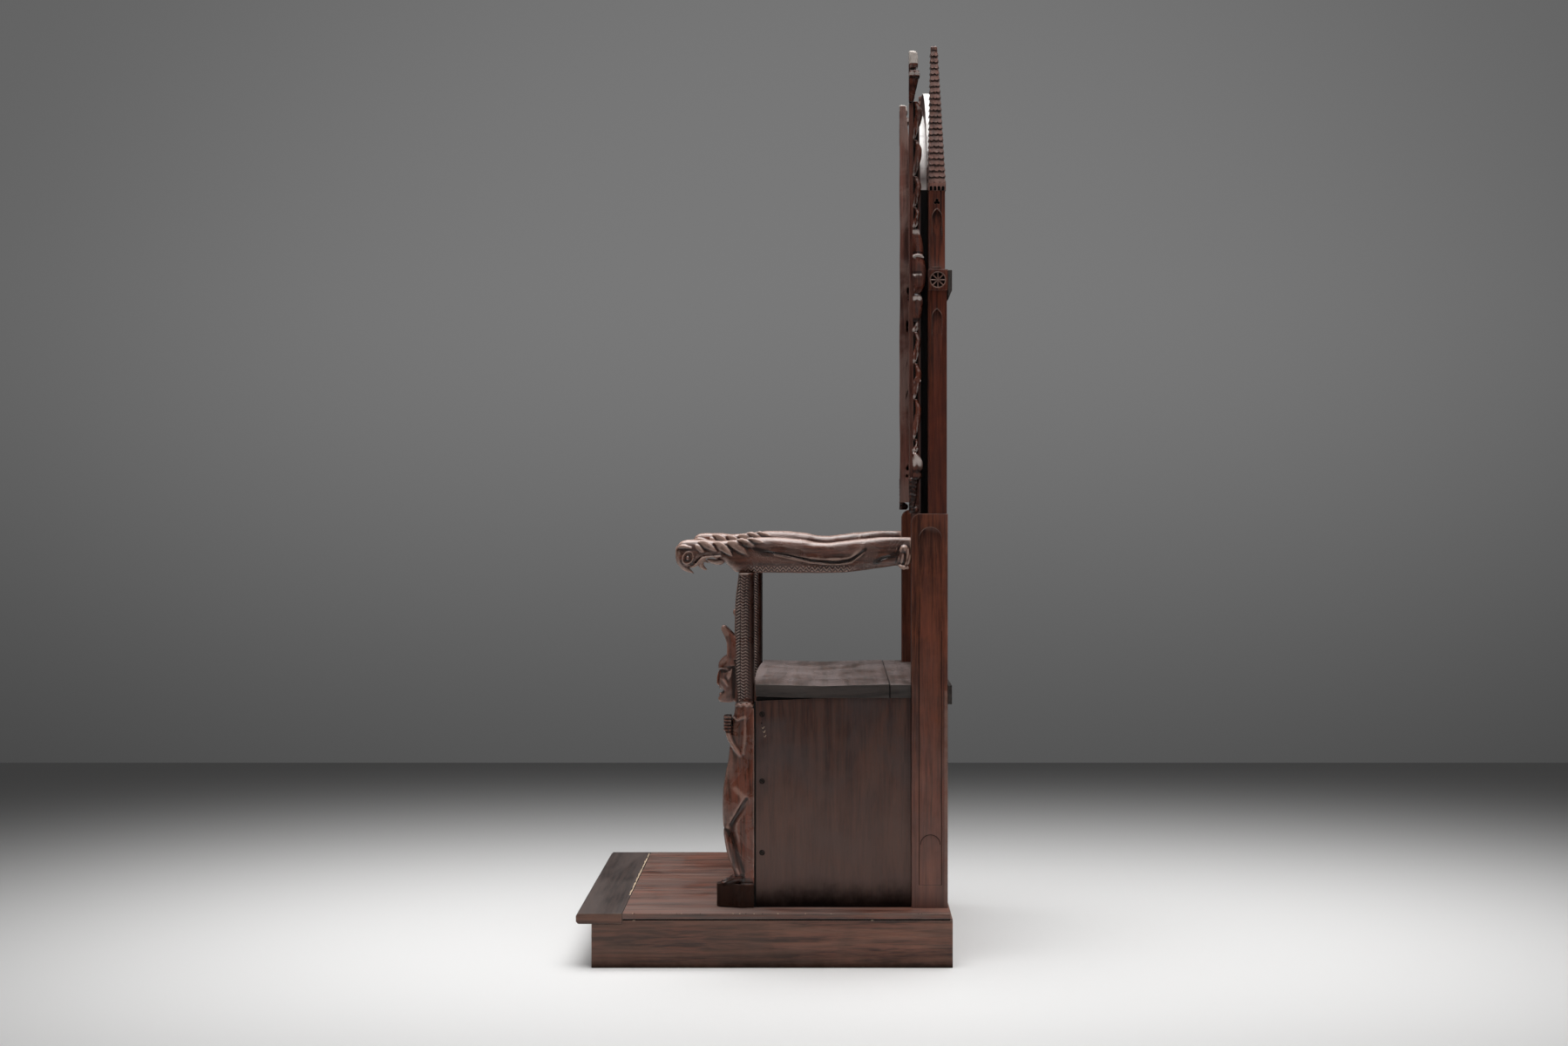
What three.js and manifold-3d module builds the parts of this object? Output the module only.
// A carved throne: a chest seat on a low platform, horned figures under eagle arms, and a tall
// arched back between two tiled spires. Millimetres, +Z up, the sitter faces -Y, and the origin
// is on the floor under the middle of the whole.
import * as THREE from "three";
import { mergeVertices } from "three/addons/utils/BufferGeometryUtils.js";
import Module from "manifold-3d";

const wasm = await Module();
wasm.setup();

// Driving dimensions. Y runs from front to back, and X from the middle outwards.
const gap = 0.3; // clearance between pieces that touch
const halfDepth = 417.6;
const outside = 305; // outer face of the arms, figures and posts
const timber = 50; // thickness of the arms, figures and lower posts
const sideX = outside - timber / 2;
const seatTop = 621;

const platform = { half: 360, front: -383, back: 415.6, board: 20, rebate: 2.2 };
const deck = { top: 120.5, thick: 12.5, front: -315, back: 411, boardWidth: 209 };
const nosing = { thick: 23.5, corner: 5 };
const chest = { half: 297, board: 20, front: -22, back: 327, top: 589.7 };
const lid = { half: 300, back: 277.5, thick: 31, bow: 9, dip: 7, lift: 3.5 };
const lowerPost = { front: 327, back: 408, top: 1002.5, corner: 15 };
const upperPost = { width: 42, front: 364, back: 406, shaftFront: 365.5, shaftBack: 402, top: 1726 };
const collar = { bottom: 1503, top: 1549.5 };
const rail = { thick: 9.3, seatBottom: 576, seatTop: 619, bracket: 22 };
const spire = {
  width: 38, bandTop: 1743.6, tip: 2052, cap: 8.5, tipWidth: 14.5, tipFront: 370.5,
  courses: 22, lip: 0.8, taper: 0.8, reach: 0.9, arches: 4, archRise: 6.5,
};
const arch = { half: 250, shoulder: 1733, backApex: 1998, frontApex: 1944 };
const backBoards = { half: 265, front: 349, rearThick: 16, sunk: 4 };
const lancets = { pitch: 150, half: 58, bottom: 1050, springing: 1540 };
const rose = { height: 1780, radius: 100, petals: 8 };
const postPanel = { half: 26, bottom: 171, springing: 947, sunk: 2 };
const postLancet = { half: 11, height: 76, head: 19, sunk: 2.5, upperApex: 1684, lowerApex: 1460 };
const rosette = { radius: 17, sunk: 9, petals: 8 };
const trefoil = { height: 1701, radius: 3.2, spread: 3.5, sunk: 6 };
const pilaster = {
  front: 321.4, rear: 346, inner: 265.4, bottom: 1003, boardBottom: 1022, boardTop: 1925,
  ringBottom: 1098, set: 8, top: 2041, brokenTop: 2027,
};
const figure = {
  back: -25.5, columnFront: -67, columnTop: 869.5, headTop: 700, torsoTop: 580, knee: 296, blockTop: 173,
};
const arm = { brow: -203, neck: -112, back: lowerPost.front - gap, top: 950, bottom: 870 };

const woods = {
  platform: new THREE.MeshStandardMaterial({ color: 0x4a3730, roughness: 0.62, metalness: 0 }),
  chest: new THREE.MeshStandardMaterial({ color: 0x3d2c27, roughness: 0.55, metalness: 0 }),
  seat: new THREE.MeshStandardMaterial({ color: 0x594b47, roughness: 0.6, metalness: 0 }),
  post: new THREE.MeshStandardMaterial({ color: 0x3d2019, roughness: 0.45, metalness: 0 }),
  carving: new THREE.MeshStandardMaterial({ color: 0x45271f, roughness: 0.38, metalness: 0 }),
};

// Closed geometry to a solid that can be joined and cut; a shape wound inwards is turned out.
function solidOf(geometry) {
  geometry.deleteAttribute("normal");
  geometry.deleteAttribute("uv");
  const merged = mergeVertices(geometry, 1e-4);
  const triangles = new Uint32Array(merged.index.array);
  const vertProperties = merged.attributes.position.array;
  let made = new wasm.Manifold(new wasm.Mesh({ numProp: 3, vertProperties, triVerts: triangles }));
  if (made.volume() < 0) {
    triangles.reverse();
    made = new wasm.Manifold(new wasm.Mesh({ numProp: 3, vertProperties, triVerts: triangles }));
  }
  return made;
}

const join = (solids) => solids.reduce((sum, next) => sum.add(next));
const cut = (solid, tools) => tools.reduce((rest, tool) => rest.subtract(tool), solid);

function box([x0, x1], [y0, y1], [z0, z1]) {
  const geometry = new THREE.BoxGeometry(x1 - x0, y1 - y0, z1 - z0);
  geometry.translate((x0 + x1) / 2, (y0 + y1) / 2, (z0 + z1) / 2);
  return solidOf(geometry);
}

// An outline drawn in Y and Z, thickened along X; one in X and Z, thickened along Y; a plan.
const alongX = new THREE.Matrix4().set(0, 0, 1, 0, 1, 0, 0, 0, 0, 1, 0, 0, 0, 0, 0, 1);
const alongY = new THREE.Matrix4().set(1, 0, 0, 0, 0, 0, -1, 0, 0, 1, 0, 0, 0, 0, 0, 1);

function thicken(shape, depth, curveSegments) {
  return new THREE.ExtrudeGeometry(shape, { depth, bevelEnabled: false, curveSegments });
}

function sideBoard(shape, x0, x1, curveSegments = 6) {
  return solidOf(thicken(shape, x1 - x0, curveSegments).applyMatrix4(alongX).translate(x0, 0, 0));
}

function frontBoard(shape, y0, y1, curveSegments = 8) {
  return solidOf(thicken(shape, y1 - y0, curveSegments).applyMatrix4(alongY).translate(0, y1, 0));
}

function planBoard(shape, z0, z1) {
  return solidOf(thicken(shape, z1 - z0, 4).translate(0, 0, z0));
}

function outline(points) {
  return new THREE.Shape(points.map(([a, b]) => new THREE.Vector2(a, b)));
}

// A smooth curve through [place, value] pairs.
function profile(pairs) {
  const slope = (i) => {
    const [before, after] = [pairs[Math.max(i - 1, 0)], pairs[Math.min(i + 1, pairs.length - 1)]];
    return (after[1] - before[1]) / (after[0] - before[0]);
  };
  return (place) => {
    let i = 0;
    while (i < pairs.length - 2 && place > pairs[i + 1][0]) i++;
    const [x0, y0] = pairs[i];
    const [x1, y1] = pairs[i + 1];
    const run = x1 - x0;
    const t = THREE.MathUtils.clamp((place - x0) / run, 0, 1);
    const rise = (2 * t ** 3 - 3 * t ** 2 + 1) * y0 + (3 * t ** 2 - 2 * t ** 3) * y1;
    return rise + run * ((t ** 3 - 2 * t ** 2 + t) * slope(i) + (t ** 3 - t ** 2) * slope(i + 1));
  };
}

const constant = (value) => () => value;

// Rings of points joined into one closed skin, with a fan over each end.
function loft(rings) {
  const count = rings[0].length;
  const middle = (ring) => ring.reduce((sum, p) => sum.map((v, i) => v + p[i] / count), [0, 0, 0]);
  const points = [...rings.flat(), middle(rings[0]), middle(rings[rings.length - 1])];
  const firstMiddle = rings.length * count;
  const index = [];
  for (let k = 0; k < count; k++) {
    const next = (k + 1) % count;
    for (let r = 0; r < rings.length - 1; r++) {
      const [a, b] = [r * count + k, r * count + next];
      index.push(a, b, b + count, a, b + count, a + count);
    }
    const last = (rings.length - 1) * count;
    index.push(firstMiddle, next, k, firstMiddle + 1, last + k, last + next);
  }
  const geometry = new THREE.BufferGeometry();
  geometry.setAttribute("position", new THREE.Float32BufferAttribute(points.flat(), 3));
  geometry.setIndex(index);
  return solidOf(geometry);
}

// A carved mass lofted along Z (or Y): low and high bound it across, half is its half width in X.
// The section is an ellipse squared off by its power.
function carve({ along = "z", from, to, steps, low, high, half, power = 2.6, sides = 8 }) {
  const squared = (v) => Math.sign(v) * Math.abs(v) ** (2 / power);
  const rings = [];
  for (let i = 0; i <= steps; i++) {
    const at = from + ((to - from) * i) / steps;
    const [a, b] = [low(at), high(at)];
    const ring = [];
    for (let k = 0; k < sides; k++) {
      const angle = (2 * Math.PI * (k + 0.5)) / sides;
      const across = (a + b) / 2 + ((b - a) / 2) * squared(Math.sin(angle));
      const wide = sideX + half(at) * squared(Math.cos(angle));
      ring.push(along === "z" ? [wide, across, at] : [wide, at, across]);
    }
    rings.push(ring);
  }
  return loft(rings);
}

// A tapering limb along a smooth path; radius runs with the share of the path, flat narrows it in X.
function limb(path, radius, { steps = 3, sides = 4, flat = 1 } = {}) {
  const curve = new THREE.CatmullRomCurve3(path.map((p) => new THREE.Vector3(...p)));
  const rings = [];
  for (let i = 0; i <= steps; i++) {
    const share = i / steps;
    const centre = curve.getPoint(share);
    const ahead = curve.getTangent(share);
    const across = new THREE.Vector3(1, 0, 0).addScaledVector(ahead, -ahead.x).normalize();
    const up = new THREE.Vector3().crossVectors(ahead, across);
    const r = radius(share);
    rings.push(
      Array.from({ length: sides }, (_, k) => {
        const angle = (2 * Math.PI * k) / sides;
        const point = centre.clone().addScaledVector(across, flat * r * Math.cos(angle));
        return point.addScaledVector(up, r * Math.sin(angle)).toArray();
      }),
    );
  }
  return loft(rings);
}

function ellipsoid(centre, radii, tilt = 0, [around, rings] = [10, 6]) {
  const geometry = new THREE.SphereGeometry(1, around, rings);
  geometry.scale(...radii).rotateX(tilt).translate(...centre);
  return solidOf(geometry);
}

// A shape on the outer face of a side timber and its mirror on the inner face. The maker is
// given a function that sets a distance off the timber's middle plane.
function bothSides(make) {
  return [1, -1].map((side) => make((offset) => sideX + side * offset));
}

const root = new THREE.Group();
root.name = "throne";

function place(name, solid, material, mirrored = false) {
  const { numProp, numVert, vertProperties, triVerts } = solid.getMesh();
  const position = new Float32Array(numVert * 3);
  for (let i = 0; i < numVert; i++) {
    position.set(vertProperties.subarray(i * numProp, i * numProp + 3), i * 3);
  }
  const geometry = new THREE.BufferGeometry();
  geometry.setAttribute("position", new THREE.BufferAttribute(position, 3));
  geometry.setIndex(new THREE.BufferAttribute(triVerts, 1));
  const mesh = new THREE.Mesh(geometry, material);
  mesh.name = name;
  mesh.scale.x = mirrored ? -1 : 1;
  root.add(mesh);
}

// The right-hand piece is on +X, and the left-hand one mirrors it.
function placePair(name, solid, material) {
  place(`${name}_right`, solid, material);
  place(`${name}_left`, solid, material, true);
}

// Platform: four skirt boards, a nosing board across the front, and the deck boards behind it.
function makePlatform() {
  const { half, front, back, board, rebate } = platform;
  const top = deck.top - deck.thick - gap;
  const nosingUnder = deck.top - nosing.thick - gap;
  const side = outline([
    [front, 0], [back, 0], [back, top],
    [deck.front, top], [deck.front, nosingUnder], [front, nosingUnder],
  ]);
  const shadowLine = box([half - 4, half + 1], [deck.front, back + 1], [top - rebate, top + 1]);
  placePair("skirt_side", sideBoard(side, half - board, half).subtract(shadowLine), woods.platform);
  const across = [-half + board + gap, half - board - gap];
  place("skirt_front", box(across, [front, front + board], [0, nosingUnder]), woods.platform);
  place("skirt_back", box(across, [back - board, back], [0, top]), woods.platform);

  const bottom = deck.top - nosing.thick;
  const nose = outline([
    [-halfDepth, bottom + nosing.corner], [-halfDepth + nosing.corner, bottom],
    [deck.front - gap, bottom], [deck.front - gap, deck.top],
    [-halfDepth + nosing.corner, deck.top], [-halfDepth, deck.top - nosing.corner],
  ]);
  place("front_board", sideBoard(nose, -half, half), woods.platform);

  // Boards run from front to back; the last one, on the left, is whatever width is over.
  let right = half;
  for (let number = 1; right > -half; number++) {
    const left = Math.max(right - deck.boardWidth, -half);
    const edges = [left + (left > -half ? gap : 0), right];
    const deckBoard = box(edges, [deck.front, deck.back], [deck.top - deck.thick, deck.top]);
    place(`deck_board_${number}`, deckBoard, woods.platform);
    right = left;
  }
}

// Chest under the seat: two sides and a front between them; the back posts and panel close it.
function makeChest() {
  const { half, board, front, back, top } = chest;
  const floor = deck.top + gap;
  const side = box([half - board, half], [front, back - gap], [floor, top]);
  placePair("chest_side", side, woods.chest);
  const across = [-half + board + gap, half - board - gap];
  place("chest_front", box(across, [front + 2, front + 2 + board], [floor, top]), woods.chest);
}

// The lid bows forward in front, sags along its edges, and lifts a little off the chest in front.
function makeSeat() {
  const bottom = chest.top + gap;
  const geometry = new THREE.BoxGeometry(2 * lid.half, lid.back - chest.front, lid.thick, 4, 4, 1);
  geometry.translate(0, (lid.back + chest.front) / 2, bottom + lid.thick / 2);
  geometry.deleteAttribute("normal");
  geometry.deleteAttribute("uv");
  const places = geometry.attributes.position;
  for (let i = 0; i < places.count; i++) {
    const [x, y, z] = [places.getX(i), places.getY(i), places.getZ(i)];
    const across = x / lid.half;
    const forward = (lid.back - y) / (lid.back - chest.front);
    places.setY(i, y - lid.bow * (1 - across ** 2) * forward ** 3);
    const sag = lid.dip * across ** 2 * Math.sin(Math.PI * forward) ** 2;
    places.setZ(i, z > bottom + 1 ? z - sag * 0.6 : z + lid.lift * Math.max(0, 2 * forward - 1) ** 2);
  }
  place("seat_lid", solidOf(geometry), woods.seat);
  const strip = box([-lid.half, lid.half], [lid.back + 2, lowerPost.front - gap], [bottom, seatTop - 1]);
  place("seat_strip", strip, woods.seat);
}

// An opening with a round or a pointed head, drawn about the line across = middle.
function archShape(middle, half, bottom, springing, pointed) {
  const shape = new THREE.Shape();
  shape.moveTo(middle - half, bottom);
  shape.lineTo(middle + half, bottom);
  shape.lineTo(middle + half, springing);
  if (pointed) {
    shape.absarc(middle - half, springing, 2 * half, 0, Math.PI / 3);
    shape.absarc(middle + half, springing, 2 * half, (2 * Math.PI) / 3, Math.PI);
  } else {
    shape.absarc(middle, springing, half, 0, Math.PI);
  }
  return shape;
}

// Petals of a rose window between spokes, round a middle in the plane of the outline.
function petals([across, up], radius, count) {
  return Array.from({ length: count }, (_, i) => {
    const turn = (2 * Math.PI * (i + 0.5)) / count;
    const spread = (0.7 * Math.PI) / count;
    const corners = [[0.28, 0], [0.9, -spread], [0.9, spread]];
    return outline(corners.map(([share, offset]) => [
      across + share * radius * Math.cos(turn + offset),
      up + share * radius * Math.sin(turn + offset),
    ]));
  });
}

function disc([across, up], radius) {
  const shape = new THREE.Shape();
  shape.absarc(across, up, radius, 0, 2 * Math.PI);
  return shape;
}

// Lower back posts, with a shallow round-headed panel on the outer face.
function makeLowerPosts() {
  const { front, back, top, corner } = lowerPost;
  const shape = outline([[front, deck.top + gap], [back, deck.top + gap], [back, top]]);
  shape.lineTo(front + corner, top);
  shape.absarc(front + corner, top - corner, corner, Math.PI / 2, Math.PI);
  const post = sideBoard(shape, outside - timber, outside);
  const middle = (front + back) / 2 + 1.5;
  const panel = archShape(middle, postPanel.half, postPanel.bottom, postPanel.springing, false);
  const sunk = sideBoard(panel, outside - postPanel.sunk, outside + 1);
  placePair("lower_post", post.subtract(sunk), woods.post);
}

// Upper back posts with blind lancets and a pierced collar, above which the shaft is thinner.
function makeUpperPosts() {
  const { width, front, back: rear, shaftFront, shaftBack, top } = upperPost;
  const inner = outside - width;
  const middle = (shaftFront + shaftBack) / 2;
  const post = box([inner, outside], [front, rear], [lowerPost.top + gap, collar.top - 5]);
  const shaft = box([inner + 2, outside - 1], [shaftFront, shaftBack], [collar.top - 9, top]);
  const block = box([inner, outside + 1.5], [front, lowerPost.back], [collar.bottom, collar.top]);
  const lancet = (apex, face) => {
    const springing = apex - postLancet.head;
    const shape = archShape(middle, postLancet.half, springing - postLancet.height, springing, true);
    return sideBoard(shape, face - postLancet.sunk, outside + 1, 2);
  };
  const centre = [middle + 2, (collar.bottom + collar.top) / 2];
  const sunk = sideBoard(disc(centre, rosette.radius), outside, outside + 3, 4);
  const pierced = petals(centre, rosette.radius, rosette.petals).map((petal) =>
    sideBoard(petal, outside - rosette.sunk, outside + 3),
  );
  const lobes = [0, 1, 2].map((i) => {
    const turn = Math.PI / 2 + (2 * Math.PI * i) / 3;
    const [across, up] = [trefoil.spread * Math.cos(turn), trefoil.spread * Math.sin(turn)];
    const lobe = disc([middle + across, trefoil.height + up], trefoil.radius);
    return sideBoard(lobe, outside - trefoil.sunk, outside + 1, 2);
  });
  const { upperApex, lowerApex } = postLancet;
  const tools = [lancet(upperApex, outside - 1), lancet(lowerApex, outside), sunk, ...pierced, ...lobes];
  placePair("upper_post", cut(join([post, shaft, block]), tools), woods.post);
}

// Two rails across the back of the posts, the upper one with a raked bracket at each end.
function makeRails() {
  const back = lowerPost.back + gap;
  const seatRail = box([-outside, outside], [back, back + rail.thick], [rail.seatBottom, rail.seatTop]);
  place("rail_seat", seatRail, woods.post);
  const collarRail = box([-outside, outside], [back, back + rail.thick], [collar.bottom, collar.top - 1]);
  const raked = outline([
    [back, collar.bottom - rail.bracket], [back + rail.thick, collar.bottom], [back, collar.bottom + 1],
  ]);
  const ends = [-outside, outside - timber].map((x) => sideBoard(raked, x, x + timber));
  place("rail_collar", join([collarRail, ...ends]), woods.post);
}

// Spires: a corbel table of small round arches, then courses of tiles up to a blunt tip.
function makeSpires() {
  const { bandTop, tip, cap, tipWidth, tipFront, courses, lip, taper, reach, arches, archRise } = spire;
  const centreX = outside - 1 - spire.width / 2;
  const centreY = (upperPost.shaftFront + upperPost.shaftBack) / 2;
  const bottom = upperPost.top + gap;
  const bandHalf = spire.width / 2 + reach;
  const bandAcross = [centreX - bandHalf, centreX + bandHalf];
  const band = box(bandAcross, [centreY - bandHalf, centreY + bandHalf], [bottom, bandTop]);
  const pitch = (spire.width - 3) / arches;
  const corbels = Array.from({ length: arches }, (_, i) => {
    const middle = centreY + (i - (arches - 1) / 2) * pitch;
    const opening = archShape(middle, pitch * 0.36, bottom - 1, bottom + archRise, false);
    return sideBoard(opening, centreX + bandHalf - 3, centreX + bandHalf + 1, 1);
  });
  const corners = [[1, 1], [-1, 1], [-1, -1], [1, -1]];
  const square = (half, y, z) => corners.map(([a, b]) => [centreX + a * half, y + b * half, z]);
  const halfAt = (share) => THREE.MathUtils.lerp(spire.width / 2, tipWidth / 2, share);
  const yAt = (share) => THREE.MathUtils.lerp(centreY, tipFront + tipWidth / 2, share);
  const zAt = (share) => THREE.MathUtils.lerp(bandTop, tip - cap, share);
  const rings = [square(spire.width / 2 - 0.2, centreY, bandTop - 0.5)];
  for (let i = 0; i < courses; i++) {
    const [share, next] = [i / courses, (i + 1) / courses];
    if (i) rings.push(square(halfAt(share) + lip, yAt(share), zAt(share)));
    rings.push(square(halfAt(next) - taper, yAt(next), zAt(next) - gap));
  }
  rings.push(square(tipWidth / 2, yAt(1), tip - cap), square(tipWidth / 2 - 2, yAt(1), tip));
  placePair("spire", cut(band, corbels).add(loft(rings)), woods.carving);
}

// A board with a shoulder at each side, from which an arch of the given rise springs.
function shoulderedBoard(half, bottom, apex) {
  const shape = outline([[-half, bottom], [half, bottom], [half, arch.shoulder], [arch.half, arch.shoulder]]);
  const rise = Math.min(apex - arch.shoulder, arch.half);
  shape.lineTo(arch.half, apex - rise);
  shape.absellipse(0, apex - rise, arch.half, rise, 0, Math.PI);
  shape.lineTo(-arch.half, arch.shoulder);
  shape.lineTo(-half, arch.shoulder);
  return shape;
}

// Two arched boards: a plain tall one between the posts, and a lower one carved with blind
// lancets and a rose before it. The board of the seat's back stands below them.
function makeBack() {
  const { half, front, rearThick, sunk } = backBoards;
  const joint = upperPost.front;
  const bottom = lowerPost.top + gap;
  const between = outside - upperPost.width - gap;
  const tall = frontBoard(shoulderedBoard(between, bottom, arch.backApex), joint, joint + rearThick, 10);
  place("back_board", tall, woods.post);
  const openings = [-1, 0, 1].map((i) =>
    archShape(i * lancets.pitch, lancets.half, lancets.bottom, lancets.springing, true),
  );
  const petalShapes = petals([0, rose.height], rose.radius, rose.petals);
  const tools = [...openings, ...petalShapes].map((shape) => frontBoard(shape, front - 1, front + sunk, 4));
  const carved = frontBoard(shoulderedBoard(half, bottom, arch.frontApex), front, joint - gap, 12);
  place("back_tracery", cut(carved, tools), woods.post);
  const inner = outside - timber - gap;
  place("seat_back", box([-inner, inner], [front, joint - gap], [deck.top + gap, lowerPost.top]), woods.post);
}

// Carved pilasters: a hooded figure over a ringed pedestal, and a pinnacle of leaves above it,
// all on the outer face of a board. Each station gives a height, how far back the carving
// reaches there, and its share of the full width.
function pilasterCarving(finialTop) {
  const { front, inner, bottom, boardTop, ringBottom, set } = pilaster;
  const x = (inner + outside) / 2;
  const full = (outside - inner) / 2;
  const root = front + 14;
  // A leaf or a fold is fullest some way up, and its top overhangs the next one.
  const leaf = (z0, z1, rear, wide = 1) => [
    [z0, root, 0.62 * wide],
    [THREE.MathUtils.lerp(z0, z1, 0.65), rear, wide],
    [z1, rear - 6, 0.85 * wide],
  ];
  const knob = [[bottom, 340, 0.3], [bottom + 6, 344, 0.45], [bottom + 16, 339, 0.3]];
  const stem = [[1021, 335, 0.5], [1049, 341, 0.6], [1050, 338, 0.7], [1080, 344, 0.8]];
  const ringAndFeet = [[1081, 348, 1], [ringBottom, 348, 1], [1100, 351, 1], [1116, 352, 1], [1136, 338, 1]];
  const folds = [
    ...leaf(1138, 1168, 342, 0.7), ...leaf(1169, 1257, 349, 0.85), ...leaf(1258, 1337, 350),
    ...leaf(1338, 1407, 348), ...leaf(1408, 1438, 344, 0.8),
  ];
  const shoulders = [[1439, 346, 1], [1460, 350, 1], [1488, 351, 1], [1494, 344, 1]];
  const head = [[1496, 348, 0.8], [1512, 356, 0.95], [1545, 360, 1], [1572, 356, 0.95], [1584, 348, 0.8]];
  const hat = [[1585, 353, 0.9], [1640, 344, 0.55]];
  const leaves = [
    ...leaf(1641, 1686, 346), ...leaf(1687, 1756, 349),
    ...leaf(1757, 1838, 350), ...leaf(1839, boardTop, 351),
  ];
  const cone = [[boardTop + 1, 333, 0.45], [1980, 343, 0.9], [1981, 345, 1], [1995, 344, 1]];
  const neck = [[1996, 335, 0.6], [2002, 335, 0.6]];
  const finial = [[2003, 341, 0.9], [finialTop - 5, 340, 0.8], [finialTop, 336, 0.6]];
  const stations = [knob, stem, ringAndFeet, folds, shoulders, head, hat, leaves, cone, neck, finial].flat();
  const sides = 6;
  const squared = (v) => Math.sign(v) * Math.sqrt(Math.abs(v));
  const rings = stations.map(([z, rear, wide]) => {
    const fore = z > boardTop || z < ringBottom ? front : front + set;
    return Array.from({ length: sides }, (_, k) => {
      const angle = (2 * Math.PI * (k + 0.5)) / sides;
      const across = (fore + rear) / 2 + ((rear - fore) / 2) * squared(Math.sin(angle));
      return [x + wide * full * squared(Math.cos(angle)), across, z];
    });
  });
  return loft(rings);
}

// The left-hand finial is broken short.
function makePilasters() {
  const { front, rear, inner, boardBottom, boardTop, top, brokenTop } = pilaster;
  const plan = outline([[inner, front], [inner + 21, front], [inner + 8, rear], [inner, rear]]);
  const board = planBoard(plan, boardBottom, boardTop);
  place("pilaster_right", board.add(pilasterCarving(top)), woods.carving);
  place("pilaster_left", board.add(pilasterCarving(brokenTop)), woods.carving, true);
}

// The horned head, which turns out at the chin, mouth, nose and brow.
function figureHead() {
  const face = carve({
    from: figure.torsoTop,
    to: figure.headTop,
    steps: 12,
    sides: 6,
    power: 2.4,
    low: profile([
      [580, -88], [585, -104], [600, -96], [610, -98], [620, -107],
      [636, -103], [652, -97], [668, -103], [700, -78],
    ]),
    high: constant(figure.columnFront + 6),
    half: profile([[580, 6], [592, 12], [612, 17], [645, 20], [672, 20], [700, 13]]),
  });
  const hornSize = profile([[0, 9], [0.3, 6.5], [0.65, 8], [1, 1.8]]);
  const horns = bothSides((off) => {
    const path = [[off(11), -76, 680], [off(13), -79, 706], [off(13), -86, 734], [off(12), -98, 755]];
    return limb(path, hornSize, { flat: 0.8 });
  });
  const earSize = profile([[0, 4], [0.5, 6.5], [1, 1.5]]);
  const ears = bothSides((off) => {
    const path = [[off(17), -84, 636], [off(21), -75, 650], [off(20), -66, 668]];
    return limb(path, earSize, { flat: 0.5, steps: 2 });
  });
  return join([face, ...horns, ...ears]);
}

// Arms folded up the chest to a pair of clasped hands.
function figureArms() {
  const arms = bothSides((off) => {
    const upperPath = [[off(16.5), -46, 560], [off(17.5), -42, 500], [off(17), -44, 450]];
    const lowerPath = [[off(17), -43, 451], [off(17), -62, 474], [off(10), -82, 508], [off(5), -84, 540]];
    return limb(upperPath, constant(7.2), { steps: 1 }).add(limb(lowerPath, constant(7)));
  });
  const [handBottom, handTop, fingers] = [507, 549, 4];
  const knuckle = (z) => {
    const share = (z - handBottom) / (handTop - handBottom);
    return 4 * Math.abs(Math.sin(Math.PI * fingers * share));
  };
  const hands = carve({
    from: handBottom,
    to: handTop,
    steps: 2 * fingers,
    sides: 6,
    low: (z) => -88 - knuckle(z),
    high: constant(-77),
    half: (z) => 10 + knuckle(z),
  });
  return join([...arms, hands]);
}

// Bent legs on a foot block; below the thigh the wood is sunk behind each shin.
function figureLegs(torso) {
  const { back, blockTop } = figure;
  const halfTimber = timber / 2;
  const sunkHalf = 14;
  const shank = outline([
    [-42, blockTop - 1], [-42, 372], [-62, 372], [-84, 300], [-56, 190], [-56, blockTop - 1],
  ]);
  const web = sideBoard(shank, sideX - sunkHalf, sideX + sunkHalf);
  const spine = box([sideX - halfTimber + 1, outside - 1], [-41, back], [blockTop - 1, 400]);
  const underThigh = outline([[-110, 270], [-30, 270], [-41, 355], [-47, 366], [-90, 303], [-110, 303]]);
  const inside = sideBoard(underThigh, sideX - halfTimber - 1, sideX - sunkHalf);
  const outer = sideBoard(underThigh, sideX + sunkHalf, outside + 1);
  const shinSize = profile([[0, 12], [0.3, 11], [0.7, 8], [1, 7]]);
  const shins = bothSides((off) =>
    limb([[off(12), -82, 316], [off(12), -80, 280], [off(12), -68, 232], [off(12), -58, 184]], shinSize, {
      sides: 6,
    }),
  );
  const footSize = profile([[0, 9], [0.4, 9], [1, 4]]);
  const feet = bothSides((off) =>
    limb([[off(12), -50, 183], [off(12), -68, 181], [off(12), -92, 175]], footSize, { steps: 2 }),
  );
  const halfPlan = [[halfTimber, back], [halfTimber, -59], [9, -110]];
  const plan = [...halfPlan, ...halfPlan.map(([across, y]) => [-across, y]).reverse()];
  const block = planBoard(outline(plan.map(([across, y]) => [sideX + across, y])), deck.top + gap, blockTop);
  return join([cut(torso, [inside, outer]), web, spine, ...shins, ...feet, block]);
}

// Front supports: one carved timber each, with a horned head before a scaled column, clasped
// hands, a bent knee, and a block under the foot.
function makeFigures() {
  const { back, columnFront, columnTop, torsoTop, knee } = figure;
  const columnFoot = torsoTop - 2;
  const column = carve({
    from: columnFoot,
    to: columnTop,
    steps: 4,
    power: 3.4,
    low: profile([
      [columnFoot, columnFront + 7], [652, columnFront], [797, columnFront + 1], [columnTop, columnFront + 8],
    ]),
    high: constant(back),
    half: profile([[columnFoot, 19], [652, 24], [columnTop, 24]]),
  });
  const torso = carve({
    from: knee,
    to: torsoTop,
    steps: 6,
    power: 3.4,
    low: profile([[knee, -92], [320, -96], [400, -95], [450, -84], [505, -78], [torsoTop, -67]]),
    high: constant(back),
    half: profile([[knee, 20], [350, 24], [430, 21], [520, 20], [torsoTop, 22]]),
  });
  placePair("front_figure", join([column, figureHead(), figureArms(), figureLegs(torso)]), woods.carving);
}

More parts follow.
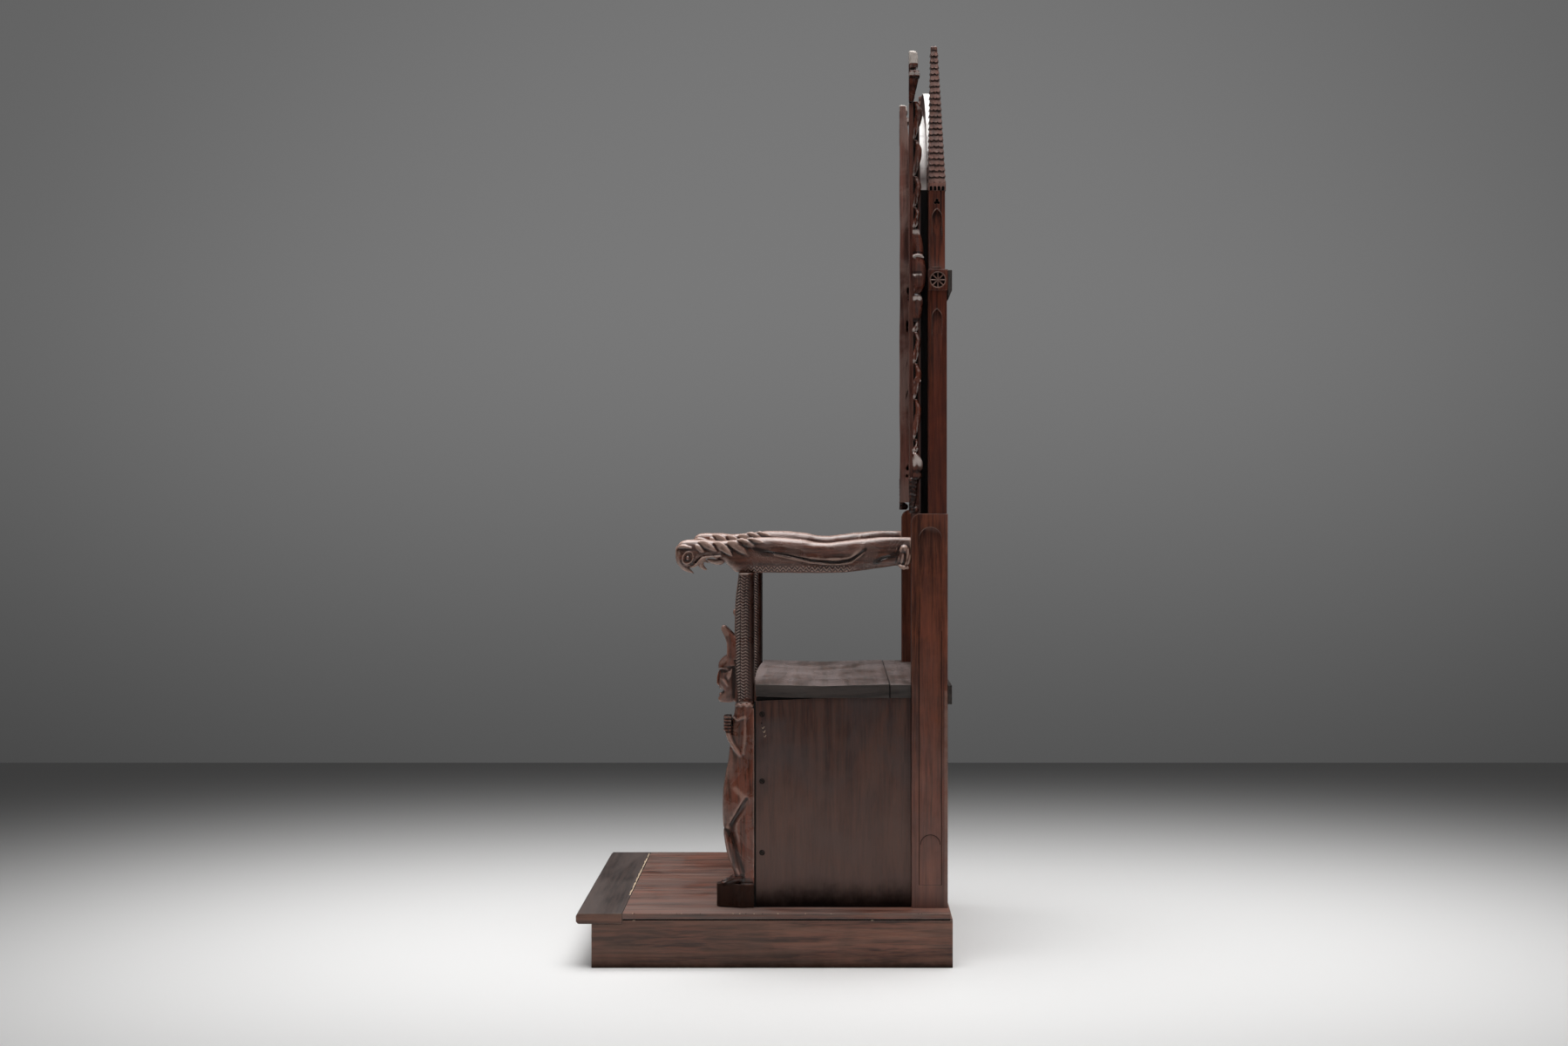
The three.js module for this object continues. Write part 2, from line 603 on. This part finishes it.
// The eagle's head: a hooked beak, teeth, a jaw, and round eyes.
function eagleHead() {
  const { brow } = arm;
  const neck = -104;
  const skull = carve({
    along: "y",
    from: brow,
    to: neck,
    steps: 5,
    low: profile([[brow, 902], [-190, 890], [-172, 884], [-150, 892], [neck, 903]]),
    high: profile([[brow, 926], [-192, 939], [-178, 943], [-140, 944], [neck, 940]]),
    half: profile([[brow, 7], [-188, 15], [-160, 20], [neck, 21]]),
  });
  const beakPath = [[sideX, -190, 905], [sideX, -190, 889], [sideX, -180, 876], [sideX, -162, 866]];
  const beak = limb(beakPath, profile([[0, 12], [0.4, 10], [0.75, 7], [1, 1.2]]), { steps: 4, sides: 5 });
  const jawPath = [[sideX, -96, 902], [sideX, -106, 894], [sideX, -120, 892], [sideX, -134, 898]];
  const jaw = limb(jawPath, profile([[0, 8], [0.5, 7], [1, 3]]), { flat: 1.4 });
  const toothSize = profile([[0, 6], [0.6, 4], [1, 0.8]]);
  const tooth = (x, y) => limb([[x, y, 900], [x, y + 3, 883], [x, y + 11, 874]], toothSize, { steps: 2 });
  const teeth = [-160, -146].flatMap((y) => bothSides((off) => tooth(off(9), y)));
  const eyes = bothSides((off) => ellipsoid([off(17), -172, 903], [6, 10, 8.5], 0.3, [5, 3]));
  return join([skull, beak, jaw, ...teeth, ...eyes]);
}

// Arms: an eagle's head looking down over the front, feathered at the neck, with a folded wing
// along each side and a taloned foot that grips the back post.
function makeArms() {
  const { neck, back, top, bottom } = arm;
  const body = carve({
    along: "y",
    from: neck,
    to: back,
    steps: 9,
    power: 3,
    low: profile([
      [neck, 905], [-92, 893], [-66, bottom + 1], [0, bottom], [170, bottom], [245, 879], [back, 891],
    ]),
    high: profile([
      [neck, 940], [-60, 944], [0, top], [70, 946], [130, 937], [200, 944], [270, top], [back, top],
    ]),
    half: profile([[neck, 20], [-50, 24], [40, 25], [140, 22], [240, 22], [back, 24]]),
  });
  // Two rows of overlapping feathers run back from the brow over the neck.
  const upperRow = [0, 1, 2, 3].flatMap((i) =>
    bothSides((off) => ellipsoid([off(15), -144 + 38 * i, 932 + 2 * i], [7.5, 25, 8], -0.4, [4, 3])),
  );
  const lowerRow = [0, 1, 2].flatMap((i) =>
    bothSides((off) => ellipsoid([off(18), -138 + 34 * i, 913 + i], [6.5, 21, 7.5], -0.45, [4, 3])),
  );
  const wingSize = profile([[0, 2], [0.4, 4], [0.85, 4.5], [1, 2]]);
  const wingLines = bothSides((off) => {
    const path = [[26.5, -24, 925], [26, 70, 903], [24.5, 130, 898], [24, 189, 900], [24, 222, 924]];
    return limb(path.map(([x, y, z]) => [off(x), y, z]), wingSize, { steps: 5 });
  });
  const toeSize = profile([[0, 6], [0.4, 8.5], [0.75, 7.5], [1, 2.5]]);
  const toes = [-15.5, 0, 15.5].map((offset) => {
    const x = sideX + offset;
    return limb([[x, 290, 922], [x, 307, 925], [x, 318, 900], [x, 318, 876]], toeSize);
  });
  const ankle = outline([[266, 899], [295, 896], [296, 913]]);
  const hollows = [[-26, -16], [16, 26]].map(([x0, x1]) => sideBoard(ankle, sideX + x0, sideX + x1));
  const carved = cut(body, [...wingLines, ...hollows]);
  placePair("arm", join([carved, eagleHead(), ...upperRow, ...lowerRow, ...toes]), woods.carving);
}

makePlatform();
makeChest();
makeSeat();
makeLowerPosts();
makeUpperPosts();
makeRails();
makeSpires();
makeBack();
makePilasters();
makeFigures();
makeArms();

export default root;
